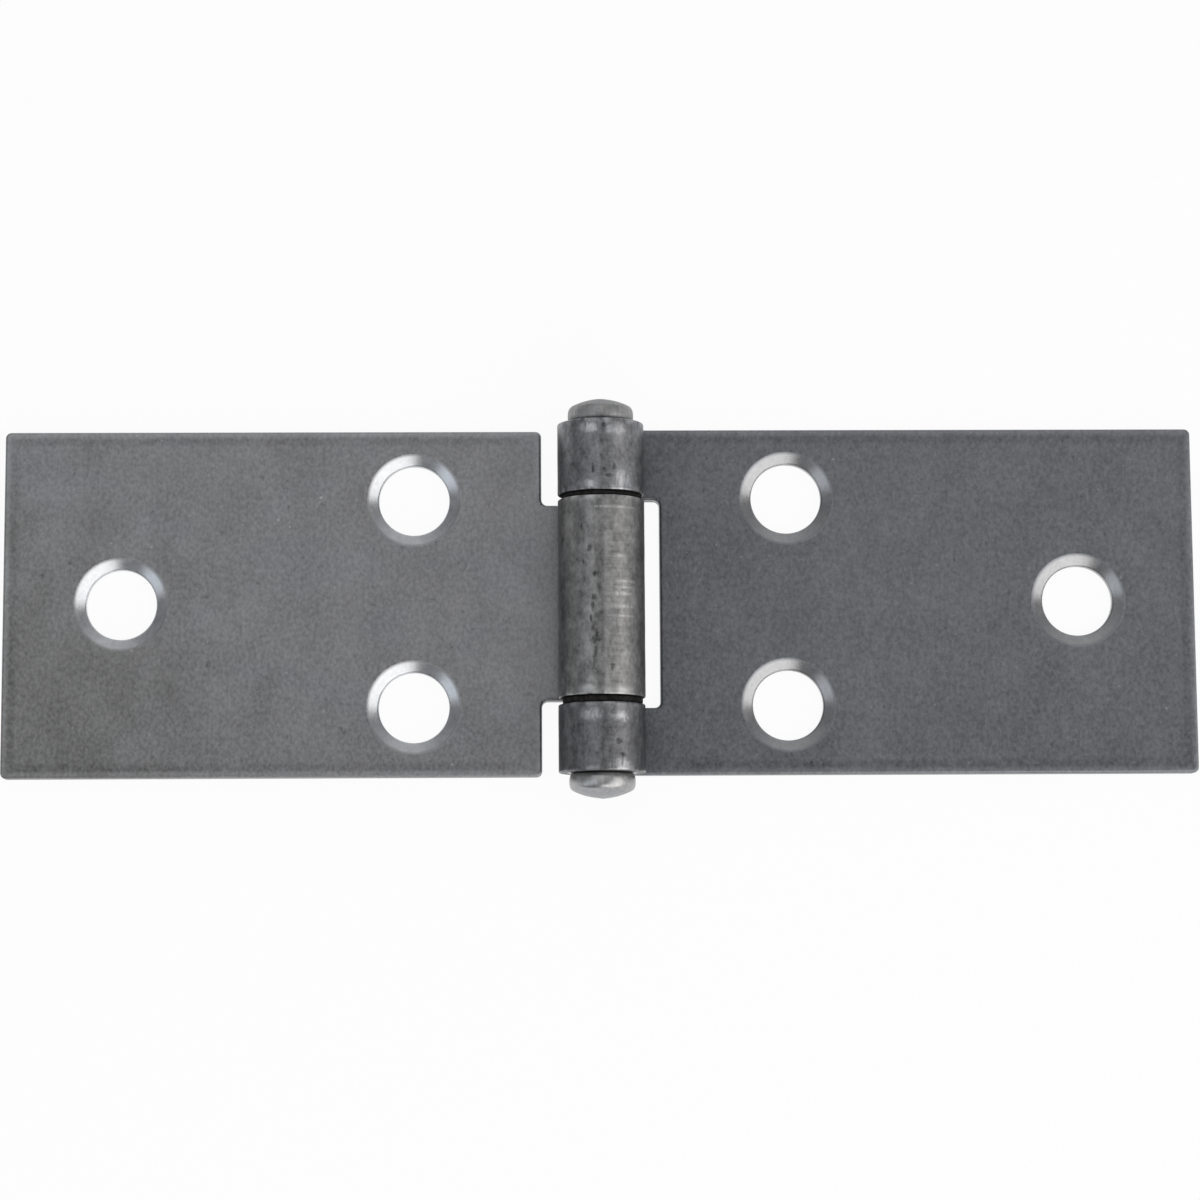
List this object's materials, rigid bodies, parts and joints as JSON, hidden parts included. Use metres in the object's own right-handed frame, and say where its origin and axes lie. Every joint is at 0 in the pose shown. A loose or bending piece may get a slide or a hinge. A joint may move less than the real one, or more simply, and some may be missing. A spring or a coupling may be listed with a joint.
{
  "type": "drop leaf table hinge",
  "caption": "Rolled steel table hinge: equal oblong leaves with countersunk screw holes, curled knuckles and a peened pin; folds both ways.",
  "frame": {"origin": "on the back plane, straight below the middle of the pin, with the hinge open flat", "axes": "+X across the leaves towards the leaf with two knuckles, +Y along the pin, +Z out of the countersunk front faces"},
  "size_m": [0.12, 0.0402, 0.0087],
  "materials": {
    "sheet_steel": "bare cold-rolled sheet, dull grey",
    "pin_steel": "bare drawn wire with bright peened heads"
  },
  "bodies": {
    "fixed_leaf": {"two_knuckle_leaf": "sheet_steel", "hinge_pin": "pin_steel"},
    "moving_leaf": {"one_knuckle_leaf": "sheet_steel"}
  },
  "joints": [
    {"name": "leaf_fold", "type": "hinge", "parent": "fixed_leaf", "child": "moving_leaf", "pos_m": [0, 0, 0.00435], "axis": [0, 1, 0], "range_deg": [-103, 185]}
  ]
}
